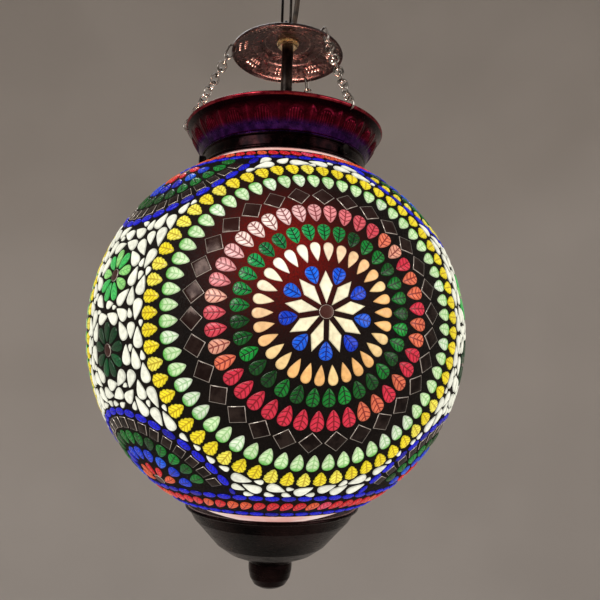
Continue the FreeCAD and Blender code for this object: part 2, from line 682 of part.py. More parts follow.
def build_cup():
    """The bottom cup, clamped to the globe's foot by a stud with an inner washer and nut, and its finial."""
    lip, top, floor = "cup_radius", "cup_lip", "cup_floor"
    cup = turned("bottom_cup", [
        (lip, top), ((lip, -5.6), (top, -9.4)), ((lip, -15.0), (top, -19.4)), ((lip, -23.6), (top, -28.8)),
        ((lip, -33.0), (top, -35.4)), ((lip, -45.6), (top, -40.6)), (17.9, floor), ("cup_hole", floor),
        ("cup_hole", (floor, 1.2)), (17.2, (floor, 1.2)), ((lip, -46.2), (top, -39.4)),
        ((lip, -33.8), (top, -34.2)), ((lip, -24.6), (top, -27.7)), ((lip, -16.0), (top, -18.4)),
        ((lip, -6.7), (top, -8.5)), ((lip, -1.0), (top, 0.0))], beads=[(lip, top, "cup_bead")])
    keep(cup, "bottom_cup")
    tip = "finial_tip"
    knob = turned("finial_knob", [
        ((0.0, "stud_radius", 0.05), (floor, -0.1)), (17.0, (floor, -0.1)), ("finial_radius", (floor, -3.0)),
        (17.0, (floor, -7.0)), (15.8, (floor, -12.5)), (12.8, (tip, 4.0)), (9.6, (tip, 2.0)),
        (5.0, (tip, 0.6)), (0.0, tip), (0.0, ("stud_bottom", -0.1)),
        ((0.0, "stud_radius", 0.05), ("stud_bottom", -0.1))])
    keep(knob, "finial_knob")
    keep(cylinder("cup_stud", "stud_radius", "stud_bottom", "stud_top"), "cup_stud")
    tube("cup_washer", "seat_washer_radius", ("stud_radius", 0.3), (-144.1,), (-142.6,))
    hexagon_nut("cup_nut", ("stud_radius", 0.05), (-142.5,))


# The mosaic. A tile is a flat prism bedded on the sphere. Angles are in degrees from the globe's centre;
# azimuths are counted from -Y towards +X, and the whole pattern sits PATTERN_LIFT above the equator.
ARC_RADIUS = 149.6
PATTERN_LIFT = 1.7
MEDALLION_AZIMUTHS = (10.9, 130.9, 250.9)
COLUMN_AZIMUTHS = (-49.1, 70.9, 190.9)
MEDALLION_EDGE = 45.6
HALF_MEDALLION_LATITUDE = 49.0
HALF_MEDALLION_EDGE = 25.2
FLOWER_LATITUDE = 9.7
FLOWER_EDGE = 7.2
ROW_LATITUDE = 51.0
JOINT = 0.8


def spot_on_globe(azimuth, latitude):
    """Unit vectors at a place on the globe: outwards, east and north."""
    turn, rise = math.radians(azimuth), math.radians(latitude)
    out = Vector(math.sin(turn) * math.cos(rise), -math.cos(turn) * math.cos(rise), math.sin(rise))
    east = Vector(math.cos(turn), math.sin(turn), 0)
    return out, east, out.cross(east)


def half_width_at(kind, share):
    """Half the width of a tile outline, as a share of its greatest, at a share of its length from the
    pointed end."""
    if kind == "drop":
        return 1.612 * share**0.85 * math.sqrt(1 - share**3.4)
    if kind == "leaf":
        return 1.533 * share**0.62 * math.sqrt(1 - share**3)
    if kind == "rhombus":
        return share / 0.55 if share < 0.55 else (1 - share) / 0.45
    if kind == "diamond":
        return 1 - abs(2 * share - 1)
    if kind == "square":
        return 1.0
    return math.sqrt(1 - (2 * share - 1) ** 2)


OUTLINE_SHARES = {
    "drop": (0.0, 0.25, 0.5, 0.72, 0.9, 1.0),
    "leaf": (0.0, 0.15, 0.4, 0.66, 0.88, 1.0),
    "rhombus": (0.0, 0.55, 1.0),
    "diamond": (0.0, 0.5, 1.0),
    "square": (0.0, 1.0),
    "oval": (0.0, 0.15, 0.5, 0.85, 1.0),
    "disc": (0.0, 0.1, 0.35, 0.65, 0.9, 1.0),
}


def outline_of(kind, half_length, half_width):
    """The tile's corners, counter-clockwise, with its pointed end at -half_length on the first axis."""
    side = [(half_length * (2 * share - 1), half_width * half_width_at(kind, share))
            for share in OUTLINE_SHARES[kind]]
    lower = [(along, -across) for along, across in side]
    upper = [point for point in reversed(side) if abs(point[1]) > 1e-6]
    return lower + upper


class Mosaic:
    """Tiles on the globe, and a grid of the circles that they cover, which keeps new tiles off old ones."""

    GRID = 12.0

    def __init__(self):
        self.tiles = []
        self.covered = {}

    def circles(self, tile):
        _, kind, out, along, half_length, half_width = tile
        for share in (0.06, 0.2, 0.36, 0.52, 0.66, 0.78, 0.9):
            to_end = 2 * half_length * min(share, 1 - share) + 0.4
            radius = min(half_width * half_width_at(kind, share), to_end)
            yield out * ARC_RADIUS + along * half_length * (2 * share - 1), radius

    def cell_of(self, point):
        return tuple(int(math.floor(value / self.GRID)) for value in (point.x, point.y, point.z))

    def near(self, point):
        """The circles in the grid cell of a point and in the 26 cells about it."""
        home = self.cell_of(point)
        for step in itertools.product((-1, 0, 1), repeat=3):
            yield from self.covered.get(tuple(a + b for a, b in zip(home, step)), ())

    def is_free(self, tile, gap):
        for point, radius in self.circles(tile):
            for other, reach in self.near(point):
                if (other - point).Length < radius + reach + gap:
                    return False
        return True

    def place(self, *tile):
        """Keeps a tile: its family, kind, place, direction, half length and half width."""
        self.tiles.append(tile)
        for point, radius in self.circles(tile):
            self.covered.setdefault(self.cell_of(point), []).append((point, radius))

    def ring(self, family, kind, centre, radii, count, fill, phase=90.0, gap=None, turn=0.0, allowed=None):
        """A ring of tiles round a centre (azimuth, latitude), their points inwards. Radii are angles, fill
        is the share of the spacing that a tile's width takes, and turn swings each tile in its own plane.
        With a gap, a tile that is in the way of an earlier ring is cut smaller, or left out."""
        out, east, north = spot_on_globe(*centre)
        middle = math.radians((radii[0] + radii[1]) / 2)
        half_length = ARC_RADIUS * math.radians(radii[1] - radii[0]) / 2
        spacing = 2 * math.pi * ARC_RADIUS * math.sin(middle) / count
        fitting = []
        for number in range(count):
            bearing = math.radians(phase + 360.0 * number / count)
            aim = east * math.cos(bearing) + north * math.sin(bearing)
            place = out * math.cos(middle) + aim * math.sin(middle)
            outward = aim * math.cos(middle) - out * math.sin(middle)
            along = swung(outward, place, turn)
            if allowed is not None and not allowed(place):
                continue
            for scale in (1.0, 0.8, 0.6):
                tile = (family, kind, place, along, half_length * scale, spacing * fill * scale / 2)
                if gap is None or self.is_free(tile, gap):
                    fitting.append(tile)
                    break
        for tile in fitting:
            self.place(*tile)


def swung(vector, axis, angle):
    """A vector turned about a unit axis by an angle in degrees."""
    turn = math.radians(angle)
    return vector * math.cos(turn) + axis.cross(vector) * math.sin(turn)


def lay_medallions(mosaic):
    for azimuth in MEDALLION_AZIMUTHS:
        centre = (azimuth, PATTERN_LIFT)
        out, east, _ = spot_on_globe(*centre)
        mosaic.place("mirror_discs", "disc", out, east, 4.5, 4.5)
        mosaic.ring("cream_petals", "rhombus", centre, (1.9, 9.7), 9, 0.78, phase=91.0)
        mosaic.ring("blue_leaves", "leaf", centre, (6.8, 11.1), 9, 0.52, phase=71.0)
        mosaic.ring("cream_drops", "drop", centre, (12.1, 17.0), 30, 0.80, phase=87.0)
        mosaic.ring("green_leaves", "leaf", centre, (17.5, 22.1), 33, 0.86, phase=90.0)
        mosaic.ring("red_leaves", "leaf", centre, (22.9, 28.3), 41, 0.88, phase=94.0)
        mosaic.ring("mirror_squares", "diamond", centre, (28.5, 34.3), 30, 0.92, phase=88.0)
        mosaic.ring("pale_leaves", "leaf", centre, (34.9, 40.2), 58, 0.84, phase=91.0)
        mosaic.ring("yellow_leaves", "leaf", centre, (40.7, MEDALLION_EDGE), 61, 0.84, phase=92.0)


def lay_flowers(mosaic):
    for azimuth in COLUMN_AZIMUTHS:
        for side, family in ((1, "light_flower_petals"), (-1, "dark_flower_petals")):
            centre = (azimuth, PATTERN_LIFT + side * FLOWER_LATITUDE)
            out, east, _ = spot_on_globe(*centre)
            mosaic.place("mirror_discs", "disc", out, east, 4.5, 4.5)
            mosaic.ring(family, "leaf", centre, (2.1, FLOWER_EDGE), 9, 0.84, phase=90.0)


def lay_rows(mosaic):
    """Level rows above and below: blue ovals, slanted red leaves, and a second blue row below."""
    pole = {1: (0.0, 90.0), -1: (0.0, -90.0)}
    for side in (1, -1):
        row = 90.0 - ROW_LATITUDE - side * PATTERN_LIFT
        mosaic.ring("blue_ovals", "oval", pole[side], (row - 1.85, row + 1.85), 57, 0.46, turn=90.0)
        mosaic.ring("red_leaves", "leaf", pole[side], (row - 6.6, row - 2.2), 62, 0.84, turn=30.0 * side)
    row = 90.0 - ROW_LATITUDE + PATTERN_LIFT - 9.0
    mosaic.ring("blue_ovals", "oval", pole[-1], (row - 1.85, row + 1.85), 48, 0.42, turn=90.0)


def lay_half_medallions(mosaic):
    for azimuth in COLUMN_AZIMUTHS:
        for side in (1, -1):
            latitude = PATTERN_LIFT + side * HALF_MEDALLION_LATITUDE
            centre = (azimuth, latitude)

            def below_row(place):
                height = math.degrees(math.asin(place.z)) - PATTERN_LIFT
                return side * height < ROW_LATITUDE - 2.6

            def ring(family, kind, radii, count, fill, **more):
                mosaic.ring(family, kind, centre, radii, count, fill, gap=0.25, allowed=below_row, **more)

            out, east, north = spot_on_globe(azimuth, latitude - side * 1.2)
            disc = ("mirror_discs", "disc", out, east, 4.5, 4.5)
            if mosaic.is_free(disc, JOINT):
                mosaic.place(*disc)
            ring("blue_ovals", "oval", (21.35, 25.35), 32, 0.46, turn=90.0)
            if azimuth == COLUMN_AZIMUTHS[1] and side == 1:
                ring("yellow_leaves", "leaf", (18.3, 22.2), 32, 0.86)
            else:
                ring("mirror_squares", "square", (18.3, 22.15), 32, 0.90)
            ring("green_leaves", "leaf", (13.8, 18.0), 26, 0.86)
            ring("blue_leaves", "leaf", (8.7, 13.0), 17, 0.84)
            ring("red_leaves", "leaf", (2.6, 8.0), 10, 0.78)


def angle_between(first, second):
    return math.degrees(math.acos(max(-1.0, min(1.0, first.dot(second)))))


def lay_filler(mosaic):
    """White drops in every gap outside the medallions, laid along the nearest edge, largest first."""
    medallions = [(spot_on_globe(azimuth, PATTERN_LIFT)[0], MEDALLION_EDGE)
                  for azimuth in MEDALLION_AZIMUTHS]
    flowers, halves = [], []
    for azimuth in COLUMN_AZIMUTHS:
        for side in (1, -1):
            flower = spot_on_globe(azimuth, PATTERN_LIFT + side * FLOWER_LATITUDE)[0]
            flowers.append((flower, FLOWER_EDGE))
            half = spot_on_globe(azimuth, PATTERN_LIFT + side * HALF_MEDALLION_LATITUDE)[0]
            halves.append((half, HALF_MEDALLION_EDGE))
    limit = ROW_LATITUDE - 1.9
    step = 0.85
    spots = []
    bands = int(2 * limit / step)
    for band in range(bands + 1):
        latitude = -limit + step * band + PATTERN_LIFT
        around_band = int(360.0 * math.cos(math.radians(latitude)) / step)
        for number in range(around_band):
            out, _, _ = spot_on_globe(360.0 * number / around_band, latitude)
            inside = any(angle_between(out, middle) < edge for middle, edge in halves)
            edges = [(angle_between(out, middle) - edge, middle) for middle, edge in medallions + flowers]
            distance, middle = min(edges, key=lambda pair: pair[0])
            if not inside and distance > 0:
                spots.append((distance, len(spots), out, middle))
    spots.sort(key=lambda spot: spot[:2])
    chance = random.Random(11)
    for half_length, half_width in ((7.0, 4.1), (5.9, 3.6), (4.6, 2.9), (3.3, 2.1), (2.4, 1.6)):
        for _, _, out, middle in spots:
            tangent = out.cross(middle).normalize()
            for slant in (0.0, 180.0, 30.0, 210.0):
                along = swung(tangent, out, slant + chance.uniform(-15.0, 15.0))
                length = half_length * chance.uniform(0.9, 1.1)
                drop = ("white_drops", "drop", out, along, length, half_width)
                if mosaic.is_free(drop, JOINT):
                    mosaic.place(*drop)
                    break


def build_mosaic():
    mosaic = Mosaic()
    lay_medallions(mosaic)
    lay_flowers(mosaic)
    lay_rows(mosaic)
    lay_half_medallions(mosaic)
    lay_filler(mosaic)
    seat, thickness = size("tile_seat"), size("tile_thickness")
    middle = Vector(0, 0, size(GLOBE))
    families = {}
    for family, kind, out, along, half_length, half_width in mosaic.tiles:
        across = out.cross(along)
        foot = middle + out * seat
        corners = [foot + along * u + across * v for u, v in outline_of(kind, half_length, half_width)]
        face = Part.Face(Part.makePolygon(corners + corners[:1]))
        families.setdefault(family, []).append(face.extrude(out * thickness))
    for family, solids in sorted(families.items()):
        item = doc.addObject("Part::Feature", family)
        item.Shape = Part.makeCompound(solids)
        keep(item, family)
        print(f"{family}: {len(solids)} tiles")


def check_pieces():
    """Stops the build if any object failed, or if a piece is empty or not valid."""
    for item in doc.Objects:
        if {"Invalid", "Error"} & set(item.State):
            raise RuntimeError(f"{item.Name} failed: {item.State}")
    for item in pieces:
        if item.Shape.isNull() or not item.Shape.isValid() or not item.Shape.Solids:
            raise RuntimeError(f"{item.Label} has no valid solid")


def print_joint_points():
    """The places and ratio that the moving chains share with the record."""
    start, end, down = hook_line()
    print(f"side chain top {start.x:.3f}, {start.z + size(GLOBE):.3f}; lean {down.x:.5f}, {down.z:.5f}")
    print(f"side chain ratio {end.x / (end - start).Length:.5f}")
    levels = chain_levels()
    print(f"chain pivot {size('ceiling_ring_height') - size('ring_radius'):.3f}")
    print(f"lantern pivot {levels[-1] - size('link_length'):.3f}")


build_ceiling_fixing()
build_chain()
build_cable()
build_stem()
build_lampholder()
build_lamp()
build_globe()
build_collar()
build_side_chains()
build_cup()
build_mosaic()
doc.recompute()
check_pieces()
print_joint_points()
os.makedirs("parts", exist_ok=True)
for item in pieces:
    item.Shape.exportStep(f"parts/{item.Label}.step")
print(f"{len(pieces)} nodes written")
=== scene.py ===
import math
import random

import bpy
from mathutils import Matrix, Vector


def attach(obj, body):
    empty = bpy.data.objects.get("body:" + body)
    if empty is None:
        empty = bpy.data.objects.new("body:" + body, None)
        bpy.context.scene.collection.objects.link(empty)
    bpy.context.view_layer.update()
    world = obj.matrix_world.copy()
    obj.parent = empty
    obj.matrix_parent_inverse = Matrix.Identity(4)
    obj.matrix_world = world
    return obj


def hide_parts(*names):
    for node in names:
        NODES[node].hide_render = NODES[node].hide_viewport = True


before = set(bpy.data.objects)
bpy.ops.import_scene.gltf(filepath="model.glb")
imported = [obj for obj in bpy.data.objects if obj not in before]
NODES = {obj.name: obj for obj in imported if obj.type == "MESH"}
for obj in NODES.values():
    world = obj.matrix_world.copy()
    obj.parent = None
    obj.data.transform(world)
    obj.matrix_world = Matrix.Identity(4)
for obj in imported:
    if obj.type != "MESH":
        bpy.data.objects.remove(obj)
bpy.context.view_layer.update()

# A hanging mosaic glass lantern. Metres, +Z up, the origin on the ceiling. Outlines are given in millimetres
# from the globe's centre, as in the CAD.
MM = 0.001
GLOBE = Vector((0, 0, -0.40285))

# The azimuths of the three medallions, and how far above the equator the pattern is centred, in degrees
MEDALLIONS = (10.9, 130.9, 250.9)
PATTERN_LIFT = 1.7

# Red leaves further than this from the pattern's equator, in degrees, are not in a medallion
MEDALLION_REACH = 43

# In metres from the globe's centre, between the CAD tiles' inner and outer faces
OUTER_FACE = 0.1496

# Tiles stand on this radius. Each ring of a tile is (share of its outline, height over that radius).
SURFACE = 149.65
DOMED = ((1.0, -0.6), (1.0, 0.35), (0.94, 0.62), (0.8, 0.84), (0.45, 0.98))
FLAT = ((1.0, -0.6), (1.0, 0.3), (0.9, 0.46), (0.5, 0.46))
CROWN = 0.02

# Pressed work, in degrees round the collar and the bell
COLLAR_MOTIF = 18.0
BELL_MOTIF = 45.0


# Camera
def add_camera():
    """Looks slightly up at the globe from just under its equator, leaning a little."""
    yaw, pitch, roll = (math.radians(angle) for angle in (2.0, 6.95, 1.7))
    forward = Vector((math.sin(yaw) * math.cos(pitch), math.cos(yaw) * math.cos(pitch), math.sin(pitch)))
    level = Vector((math.cos(yaw), -math.sin(yaw), 0))
    upright = level.cross(forward)
    right = level * math.cos(roll) + upright * math.sin(roll)
    up = upright * math.cos(roll) - level * math.sin(roll)
    data = bpy.data.cameras.new("camera")
    data.lens, data.sensor_width = 36.18, 36.0
    data.clip_start, data.clip_end = 0.01, 50.0
    camera = bpy.data.objects.new("camera", data)
    bpy.context.scene.collection.objects.link(camera)
    turn = Matrix((right, up, -forward)).transposed().to_4x4()
    camera.matrix_world = Matrix.Translation((0, -0.5016, -0.43525)) @ turn
    bpy.context.scene.camera = camera


# Materials
def linear(*colour):
    """A colour of 0 to 255 display values as linear light, with alpha 1."""
    shares = [value / 255 for value in colour]
    return tuple(v / 12.92 if v <= 0.04045 else ((v + 0.055) / 1.055) ** 2.4 for v in shares) + (1.0,)


class Shader:
    """A node material round one Principled shader."""

    def __init__(self, name, **constants):
        self.material = bpy.data.materials.new(name)
        self.material.use_nodes = True
        self.tree = self.material.node_tree
        self.surface = self.tree.nodes["Principled BSDF"]
        for socket, value in constants.items():
            self.surface.inputs[socket.replace("_", " ")].default_value = value
        self.coords = self.node("ShaderNodeTexCoord").outputs["Object"]

    def node(self, kind, **settings):
        made = self.tree.nodes.new(kind)
        for name, value in settings.items():
            setattr(made, name, value)
        return made

    def put(self, value, socket):
        if isinstance(value, bpy.types.NodeSocket):
            self.tree.links.new(value, socket)
        else:
            socket.default_value = value

    def set(self, socket, value):
        self.put(value, self.surface.inputs[socket])

    def calc(self, operation, *values, clamp=False):
        made = self.node("ShaderNodeMath", operation=operation, use_clamp=clamp)
        for value, socket in zip(values, made.inputs):
            self.put(value, socket)
        return made.outputs[0]

    def span(self, value, low, high, to_low=0.0, to_high=1.0):
        made = self.node("ShaderNodeMapRange", interpolation_type="SMOOTHSTEP")
        for item, socket in zip((value, low, high, to_low, to_high), made.inputs):
            self.put(item, socket)
        return made.outputs[0]

    def noise(self, scale, detail=3.0, stretch=(1, 1, 1)):
        place = self.node("ShaderNodeMapping")
        place.inputs["Scale"].default_value = stretch
        self.put(self.coords, place.inputs["Vector"])
        made = self.node("ShaderNodeTexNoise")
        self.put(place.outputs[0], made.inputs["Vector"])
        made.inputs["Scale"].default_value = scale
        made.inputs["Detail"].default_value = detail
        made.inputs["Roughness"].default_value = 0.55
        return made.outputs[0]

    def mix(self, share, first, second, kind="MIX"):
        made = self.node("ShaderNodeMix", data_type="RGBA", blend_type=kind)
        # sockets 6 and 7 are the two colours, and output 2 is the mixed one
        for value, number in ((share, 0), (first, 6), (second, 7)):
            self.put(value, made.inputs[number])
        return made.outputs[2]

    def bump(self, height, strength, depth):
        made = self.node("ShaderNodeBump")
        made.inputs["Strength"].default_value = strength
        made.inputs["Distance"].default_value = depth
        self.put(height, made.inputs["Height"])
        self.set("Normal", made.outputs[0])

    def attribute(self, name):
        return self.node("ShaderNodeAttribute", attribute_name=name)

    def split(self, vector):
        made = self.node("ShaderNodeSeparateXYZ")
        self.put(vector, made.inputs[0])
        return made.outputs


def metal(name, dark, bright, roughness=0.3, grain=240.0, relief=0.12, metallic=1.0, coat=0.0):
    """Worn metal: two tones in patches, uneven polish and fine scratches."""
    shader = Shader(name, Metallic=metallic, Coat_Weight=coat)
    patches = shader.span(shader.noise(grain * 0.25, 4.0), 0.35, 0.7)
    shader.set("Base Color", shader.mix(patches, linear(*dark), linear(*bright)))
    scratches = shader.noise(grain, 5.0, (1, 1, 7))
    shader.set("Roughness", shader.span(scratches, 0.3, 0.75, roughness * 0.7, roughness * 1.5))
    shader.bump(shader.noise(grain * 2.2, 4.0), relief, 0.0004)
    return shader


def glowing(name, low, high, scale, roughness=0.25, strength=0.9):
    """Frosted glass lit from inside, cloudy between two colours."""
    shader = Shader(name, Roughness=roughness, Emission_Strength=strength)
    cloud = shader.span(shader.noise(scale, 4.0), 0.3, 0.7)
    colour = shader.mix(cloud, linear(*low), linear(*high))
    shader.set("Emission Color", colour)
    shader.set("Base Color", colour)
    shader.bump(shader.noise(scale * 6, 3.0), 0.15, 0.0006)
    return shader


def tile_glass(name, veins=0.0, vein_colour=(60, 20, 20), rim=None, strength=1.0, slope=-0.24, count=4.0):
    """Pressed glass lit from behind. `place` holds the share along the tile from its point, the offset from
    its midrib and the depth in from its edge; the colour attribute holds the tile's own colour with painted
    light in it: paler and brighter near the painted hot spots, a little brighter towards the top."""
    shader = Shader(name, Roughness=0.22, Coat_Weight=0.2, Coat_Roughness=0.1, Emission_Strength=strength)
    along, offset, depth = shader.split(shader.attribute("place").outputs["Vector"])
    colour = shader.attribute("tint_with_painted_light").outputs["Color"]
    aside = shader.calc("ABSOLUTE", offset)
    if rim:
        edge = shader.calc("ADD", shader.span(along, 0.62, 1.0), shader.span(offset, 0.5, 1.2), clamp=True)
        colour = shader.mix(edge, colour, linear(*rim))
    cloud = shader.span(shader.noise(330.0, 4.0), 0.25, 0.75, 0.8, 1.1)
    # Painted shade: the glow darkens towards the tile's edge.
    shade = shader.calc("MULTIPLY", cloud, shader.span(depth, 0.0, 0.22, 0.6, 1.0))
    colour = shader.mix(1.0, colour, shade, "MULTIPLY")
    relief = shader.noise(700.0, 2.0)
    if veins:
        slanted = shader.calc("MULTIPLY_ADD", shader.calc("POWER", aside, 1.5), slope, along)
        wave = shader.calc("PINGPONG", shader.calc("MULTIPLY", slanted, count), 0.5)
        lines = shader.span(wave, 0.07, 0.2, 1.0, 0.0)
        midrib = shader.span(aside, 0.05, 0.17, 1.0, 0.0)
        mask = shader.calc("MAXIMUM", lines, midrib)
        mask = shader.calc("MULTIPLY", mask, shader.span(depth, 0.02, 0.1, 0.0, veins))
        colour = shader.mix(mask, colour, linear(*vein_colour))
        relief = shader.calc("SUBTRACT", relief, mask)
    shader.set("Emission Color", colour)
    shader.set("Base Color", shader.mix(0.85, colour, linear(8, 6, 6)))
    shader.bump(relief, 0.5, 0.0004)
    return shader


def mirror_glass():
    """Dark cut mirror: a bright ground edge round a clouded face, with a painted glow that is brightest at
    the edge.
    """
    shader = Shader("mirror_glass", Metallic=0.8, Roughness=0.2, Emission_Strength=0.8)
    depth = shader.split(shader.attribute("place").outputs["Vector"])[2]
    edge = shader.span(depth, 0.02, 0.09, 1.0, 0.0)
    cloud = shader.span(shader.noise(110.0, 3.0), 0.35, 0.7)
    face = shader.mix(cloud, linear(22, 15, 14), linear(70, 60, 56))
    shader.set("Base Color", shader.mix(edge, face, linear(190, 184, 176)))
    # Painted glow: the mirror glows at its ground edge, and browner near the hot spots.
    tint_with_painted_light = shader.attribute("tint_with_painted_light").outputs["Color"]
    shader.set("Emission Color", shader.mix(edge, tint_with_painted_light, linear(150, 138, 128)))
    shader.bump(shader.noise(60.0, 2.0), 0.2, 0.0006)
    return shader


def grout_material():
    """Dark, grainy grout with a painted dull red glow where its colour attribute says the lamp shows through.
    """
    shader = Shader("grout", Emission_Strength=1.0, Specular_IOR_Level=0.2)
    grains = shader.noise(900.0, 5.0)
    patches = shader.span(shader.noise(60.0, 3.0), 0.3, 0.7)
    shader.set("Base Color", shader.mix(patches, linear(6, 4, 4), linear(20, 13, 11)))
    shader.set("Emission Color", shader.mix(1.0, shader.attribute("tint_with_painted_light").outputs["Color"],
                                            shader.span(grains, 0.3, 0.8, 0.5, 1.3), "MULTIPLY"))
    shader.set("Roughness", shader.span(grains, 0.3, 0.7, 0.5, 0.85))
    shader.bump(grains, 0.6, 0.0006)
    return shader


def collar_material():
    """Maroon lacquer over pressed sheet, with painted light by height: a painted red highlight at the rolled
    lip, painted shade just under it, painted highlights on the raised work and a painted violet reflection
    lower down; worn brown on the band.
    """
    shader = Shader("collar_lacquer", Metallic=1.0)
    level = shader.split(shader.coords)[2]
    base = GLOBE.z
    wear = shader.span(shader.noise(150.0, 4.0), 0.35, 0.7)
    raised = shader.span(shader.attribute("relief").outputs["Fac"], 0.1, 0.8)
    # Painted highlight on the rolled lip.
    lip = shader.mix(wear, linear(120, 22, 38), linear(184, 60, 74))
    flare = shader.mix(wear, linear(60, 7, 20), linear(96, 16, 36))
    # Painted shade under the lip: the top of the flare darkens.
    flare = shader.mix(shader.span(level, base + 0.162, base + 0.167), flare, linear(26, 4, 9))
    # Painted highlights on the raised work.
    flare = shader.mix(raised, flare, shader.mix(wear, linear(112, 16, 38), linear(156, 34, 62)))
    # Painted violet reflection in the lower cove.
    cove_reflection = shader.mix(wear, linear(44, 18, 66), linear(84, 38, 116))
    band = shader.mix(wear, linear(14, 8, 10), linear(36, 18, 20))
    colour = band
    for above, low, high in ((cove_reflection, 0.1462, 0.1482), (flare, 0.152, 0.157), (lip, 0.1692, 0.17)):
        colour = shader.mix(shader.span(level, base + low, base + high), colour, above)
    shader.set("Base Color", colour)
    shader.set("Roughness", shader.span(shader.noise(400.0, 4.0), 0.3, 0.7, 0.14, 0.3))
    shader.bump(shader.noise(300.0, 2.0), 0.05, 0.0004)
    return shader


def finish_cad_nodes():
    """A material for every CAD node that is kept as it is."""
    steel = metal("blackened_steel", (20, 18, 18), (70, 64, 60), 0.38)
    bronze = metal("antique_bronze", (40, 30, 30), (112, 82, 78), 0.24, 160.0, 0.2)
    cup = metal("cup_bronze", (12, 9, 10), (46, 32, 32), 0.26, 130.0, 0.2)
    brass = metal("bright_brass", (206, 184, 136), (242, 228, 192), 0.24)
    nickel = metal("chain_nickel", (130, 124, 118), (214, 210, 204), 0.2)
    aluminium = metal("lamp_aluminium", (150, 150, 154), (206, 206, 210), 0.3)
    insulation = metal("wire_insulation", (180, 176, 164), (214, 210, 200), 0.4, 300.0, 0.1, 0.0)
    porcelain = metal("porcelain", (224, 218, 204), (244, 240, 230), 0.2, 90.0, 0.05, 0.0, 0.8)
    black = metal("black_glass", (14, 12, 16), (34, 30, 38), 0.12, 90.0, 0.05, 0.0, 1.0)
    lamp_glass = glowing("lamp_glass", (255, 226, 170), (255, 246, 220), 40.0, 0.1, 1.6)
    filament = glowing("filament_wire", (255, 190, 110), (255, 236, 190), 400.0, 0.3, 6.0)
    glass = glowing("globe_glass", (232, 170, 160), (255, 240, 232), 26.0, 0.12, 0.85)
    finishes = {
        steel: ("crossbar", "ceiling_loop", "chain_link_1", "chain_link_2", "chain_link_3", "lantern_loop",
                "stem_tube", "stem_top_nut", "neck_screws"),
        bronze: ("ceiling_canopy", "canopy_ring"),
        cup: ("bottom_cup", "finial_knob", "lampholder_cap", "lampholder_sleeve"),
        brass: ("threaded_nipple", "nipple_nut", "bell_washer", "stem_lower_nut", "thread_shell",
                "centre_contact", "lamp_tip_contact", "cup_stud", "cup_washer", "cup_nut"),
        nickel: tuple(f"{part}_{number}" for part in ("top_hook", "side_chain", "bottom_hook")
                      for number in (1, 2, 3)),
        aluminium: ("lamp_cap",), insulation: ("lead_wires",), porcelain: ("holder_insulator",),
        black: ("lamp_insulator",), lamp_glass: ("lamp_envelope", "lamp_mount"),
        filament: ("lamp_filament",), glass: ("globe_glass",)}
    for shader, names in finishes.items():
        for name in names:
            for place in NODES[name].material_slots:
                place.material = shader.material


# Pieces
def add_mesh(name, points, faces, shader, smooth=True, attributes=()):
    mesh = bpy.data.meshes.new(name)
    mesh.from_pydata(points, [], faces)
    for label, kind, field, values in attributes:
        layer = mesh.attributes.new(label, kind, "POINT")
        layer.data.foreach_set(field, [number for value in values for number in value])
    mesh.materials.append(shader.material)
    mesh.polygons.foreach_set("use_smooth", [smooth] * len(mesh.polygons))
    mesh.update()
    piece = bpy.data.objects.new(name, mesh)
    bpy.context.scene.collection.objects.link(piece)
    return piece


def add_cable():
    """The supply cable, on the same route as in the CAD: out of the canopy, past the chain, into the hub."""
    route = [(8.3, 0.0, -12.0), (8.3, 0.0, -33.0), (9.8, 1.3, -62.0), (7.9, 1.6, -96.0), (6.1, 1.9, -121.0),
             (3.8, -0.08, -134.55)]
    radius = 2.3
    curve = bpy.data.curves.new("supply_cable_curve", "CURVE")
    curve.dimensions = "3D"
    curve.bevel_depth, curve.bevel_resolution = radius * MM, 6
    curve.resolution_u = 12
    curve.use_fill_caps = True
    spline = curve.splines.new("NURBS")
    spline.points.add(len(route) - 1)
    for point, place in zip(spline.points, route):
        point.co = [value * MM for value in place] + [1.0]
    spline.order_u = 3
    spline.use_endpoint_u = True
    cable = bpy.data.objects.new("hanging_cable", curve)
    bpy.context.scene.collection.objects.link(cable)
    sheath = metal("cable_sheath", (34, 27, 23), (86, 72, 60), 0.5, 500.0, 0.3, 0.0)
    curve.materials.append(sheath.material)
    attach(cable, "chain")
    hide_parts("supply_cable")


def spot(azimuth, latitude):
    """The unit vector at a place on the globe, azimuths counted from -Y towards +X."""
    turn, rise = math.radians(azimuth), math.radians(latitude)
    return Vector((math.sin(turn) * math.cos(rise), -math.cos(turn) * math.cos(rise), math.sin(rise)))


HOT_SPOTS = [spot(azimuth - 10.5, 17.0) for azimuth in MEDALLIONS]


def heat_at(out, spread=14.0):
    """How strongly the lamp shows through at a place: most up and to the left of each medallion."""
    nearest = max(out.dot(hot) for hot in HOT_SPOTS)
    angle = math.degrees(math.acos(min(1.0, nearest)))
    return math.exp(-(angle / spread) ** 2)


def half_width_at(kind, share):
    """Half a tile's width, as a share of its greatest, at a share along it from its pointed end."""
    if kind == "drop":
        return 1.612 * share**0.85 * math.sqrt(1 - share**3.4)
    if kind in ("leaf", "lobed"):
        width = 1.533 * share**0.62 * math.sqrt(1 - share**3)
        lobes = 0.84 + 0.2 * abs(math.sin(math.pi * 4.4 * share)) if kind == "lobed" else 1.0
        return width * lobes
    if kind == "kite":
        return share / 0.55 if share < 0.55 else (1 - share) / 0.45
    return math.sqrt(max(0.0, 1 - (2 * share - 1) ** 2))


def outline_of(kind):
    """The outline's corners as (share along, offset), from the pointed end round and back."""
    if kind == "kite":
        shares = (0.0, 0.28, 0.55, 0.78, 1.0)
    else:
        steps = {"lobed": 36, "oval": 10}.get(kind, 12)
        shares = [(1 - math.cos(math.pi * step / steps)) / 2 for step in range(steps + 1)]
    side = [(share, half_width_at(kind, share)) for share in shares]
    return [(share, -width) for share, width in side] + [pair for pair in reversed(side) if pair[1] > 1e-6]


